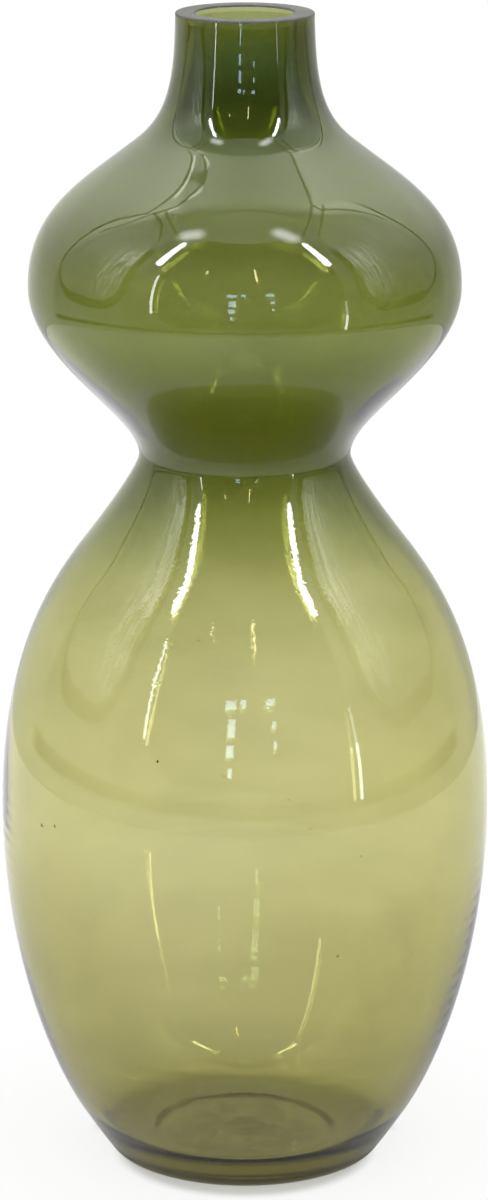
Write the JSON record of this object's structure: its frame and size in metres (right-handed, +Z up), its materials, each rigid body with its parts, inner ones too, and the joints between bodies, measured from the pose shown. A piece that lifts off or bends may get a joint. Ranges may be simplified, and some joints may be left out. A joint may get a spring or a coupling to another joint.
{
  "type": "glass vase",
  "caption": "Tall blown glass vase of double-gourd form with a narrow ground rim, round upper bulb, tight waist and full olive body under a green overlay; holds cut stems.",
  "frame": {"origin": "on the axis of the vase, in the plane of its foot ring", "axes": "+Z up along the axis of the vase, from the foot to the rim; X and Y are any two level directions, since the vase is round"},
  "size_m": [0.1688, 0.1688, 0.4],
  "materials": {
    "olive_glass": "clear olive glass, fire-polished, with a few seeds and faint tooling ripples; rim ground flat",
    "green_glass": "clear green glass, fire-polished"
  },
  "bodies": {
    "root": {"olive_vessel": "olive_glass", "green_overlay": "green_glass"}
  },
  "joints": []
}
